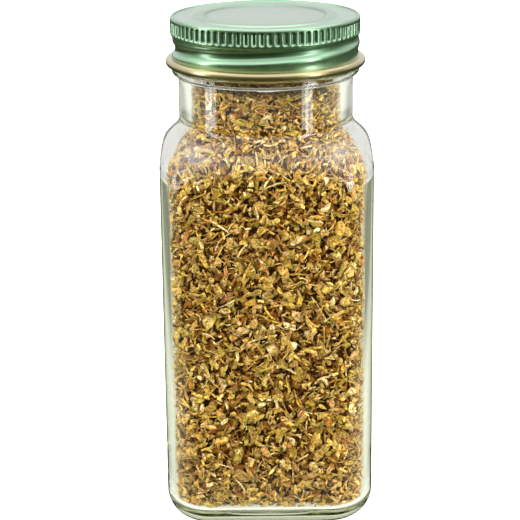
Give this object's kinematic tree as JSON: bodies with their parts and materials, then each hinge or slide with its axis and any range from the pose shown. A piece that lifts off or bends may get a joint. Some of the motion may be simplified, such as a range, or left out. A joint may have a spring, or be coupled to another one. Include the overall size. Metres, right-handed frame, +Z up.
{
  "type": "spice jar of dried oregano",
  "caption": "Square clear-glass spice jar with rounded shoulders, filled with dried oregano flakes and closed by a green and gold metal screw cap.",
  "frame": {"origin": "under the middle of the base, on the plane that the jar stands on", "axes": "+Z up through the cap, -Y out of the front face, +X to the right seen from the front"},
  "size_m": [0.0468, 0.0468, 0.1137],
  "materials": {
    "clear_glass": "smooth moulded clear glass with a faint green tint",
    "dried_leaf": "matt crumbled dried leaf with straw-coloured stems",
    "lacquered_tinplate": "glossy transparent green lacquer over bright tinplate, gold lacquer on the rolled edge and inside",
    "liner_foam": "soft white sealing disc"
  },
  "bodies": {
    "jar": {"glass_jar": "clear_glass", "dried_oregano": "dried_leaf"},
    "seal": {"cap_liner": "liner_foam"},
    "cap": {"cap_shell": "lacquered_tinplate"}
  },
  "joints": [
    {"name": "cap_lift", "type": "slide", "parent": "jar", "child": "seal", "axis": [0, 0, 1], "range_m": [0, 0.0102]},
    {"name": "cap_turn", "type": "hinge", "parent": "seal", "child": "cap", "pos_m": [0, 0, 0.1085], "axis": [0, 0, 1], "range_deg": [0, 720]}
  ],
  "couplings": [
    {"joint": "cap_lift", "follows": "cap_turn", "m_per_rad": 0.00080851}
  ]
}
